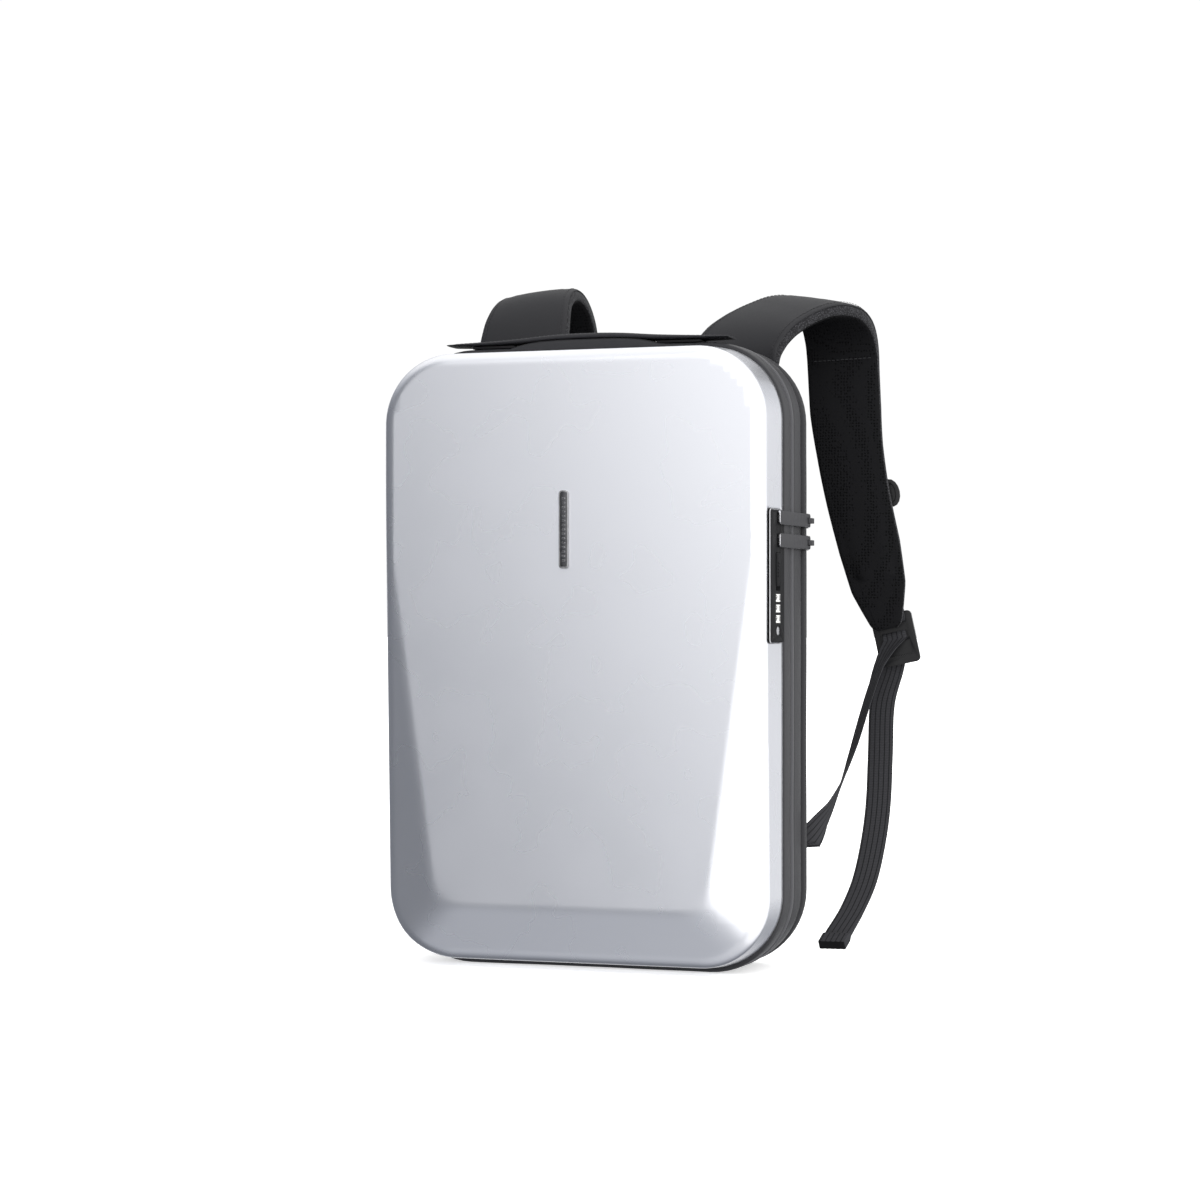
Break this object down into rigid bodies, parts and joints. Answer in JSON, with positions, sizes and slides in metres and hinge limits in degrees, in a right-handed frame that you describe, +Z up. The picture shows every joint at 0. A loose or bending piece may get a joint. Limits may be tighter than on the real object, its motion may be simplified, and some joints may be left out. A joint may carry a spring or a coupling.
{
  "type": "hard shell backpack",
  "caption": "Hard shell backpack: rigid creased front shell on a zipped soft body, side combination lock, low top handle and padded shoulder straps with webbing adjusters.",
  "frame": {"origin": "middle of the soft body's flat underside, which the backpack stands on", "axes": "+Z up, +Y to the wearer's side with the back panel and straps, +X to the side with the lock"},
  "size_m": [0.3636, 0.2599, 0.5247],
  "materials": {
    "shell": "silver satin lacquer",
    "badge_rim": "polished edge",
    "badge_face": "dark ribbed metal",
    "lock_black": "semi-gloss moulded",
    "dial_white": "moulded with black marks",
    "key_metal": "turned",
    "body_cloth": "fine woven, coated",
    "zip_cloth": "coated zip tape",
    "zip_metal": "gunmetal",
    "mesh_cloth": "spacer mesh",
    "handle_cloth": "coated, smooth",
    "web_cloth": "ribbed webbing",
    "buckle_black": "moulded"
  },
  "bodies": {
    "bag": {"front_shell": "shell", "badge_frame": "badge_rim", "badge_bar": "badge_face", "lock_housing": "lock_black", "rim_binding": "body_cloth", "side_gusset": "body_cloth", "zipper_tape": "zip_cloth", "back_frame": "body_cloth", "back_pad": "mesh_cloth", "zip_slider_upper": "zip_metal", "zip_slider_lower": "zip_metal", "top_handle": "handle_cloth", "handle_anchor_left": "handle_cloth", "handle_anchor_right": "handle_cloth", "strap_pad_left": "mesh_cloth", "strap_pad_right": "mesh_cloth", "strap_keeper_left": "buckle_black", "strap_keeper_right": "buckle_black", "strap_buckle_left": "buckle_black", "strap_buckle_right": "buckle_black", "strap_end_tab_left": "web_cloth", "strap_end_tab_right": "web_cloth", "corner_tab_left": "web_cloth", "corner_tab_right": "web_cloth", "strap_webbing_left": "web_cloth", "strap_webbing_right": "web_cloth"},
    "dial_1": {"lock_dial_1": "dial_white"},
    "dial_2": {"lock_dial_2": "dial_white"},
    "dial_3": {"lock_dial_3": "dial_white"},
    "release": {"lock_release": "lock_black"},
    "cylinder": {"lock_cylinder": "key_metal"},
    "pull_upper": {"zip_pull_upper": "zip_metal"},
    "pull_lower": {"zip_pull_lower": "zip_metal"}
  },
  "joints": [
    {"name": "dial_1_turn", "type": "hinge", "parent": "bag", "child": "dial_1", "pos_m": [0.14469, -0.05071, 0.275], "axis": [0, 0, 1], "continuous": true},
    {"name": "dial_2_turn", "type": "hinge", "parent": "bag", "child": "dial_2", "pos_m": [0.14469, -0.05071, 0.2674], "axis": [0, 0, 1], "continuous": true},
    {"name": "dial_3_turn", "type": "hinge", "parent": "bag", "child": "dial_3", "pos_m": [0.14469, -0.05071, 0.2598], "axis": [0, 0, 1], "continuous": true},
    {"name": "release_slide", "type": "slide", "parent": "bag", "child": "release", "axis": [0, 0, -1], "range_m": [0, 0.003], "stiffness_N_per_m": 300},
    {"name": "cylinder_turn", "type": "hinge", "parent": "bag", "child": "cylinder", "pos_m": [0.14898, -0.05101, 0.2512], "axis": [0.9977, -0.068, 0], "range_deg": [0, 90]},
    {"name": "pull_upper_swing", "type": "hinge", "parent": "bag", "child": "pull_upper", "pos_m": [0.1555, 0.0215, 0.3333], "axis": [0, 0, 1], "range_deg": [0, 150]},
    {"name": "pull_lower_swing", "type": "hinge", "parent": "bag", "child": "pull_lower", "pos_m": [0.1555, 0.0215, 0.3168], "axis": [0, 0, 1], "range_deg": [0, 150]}
  ]
}
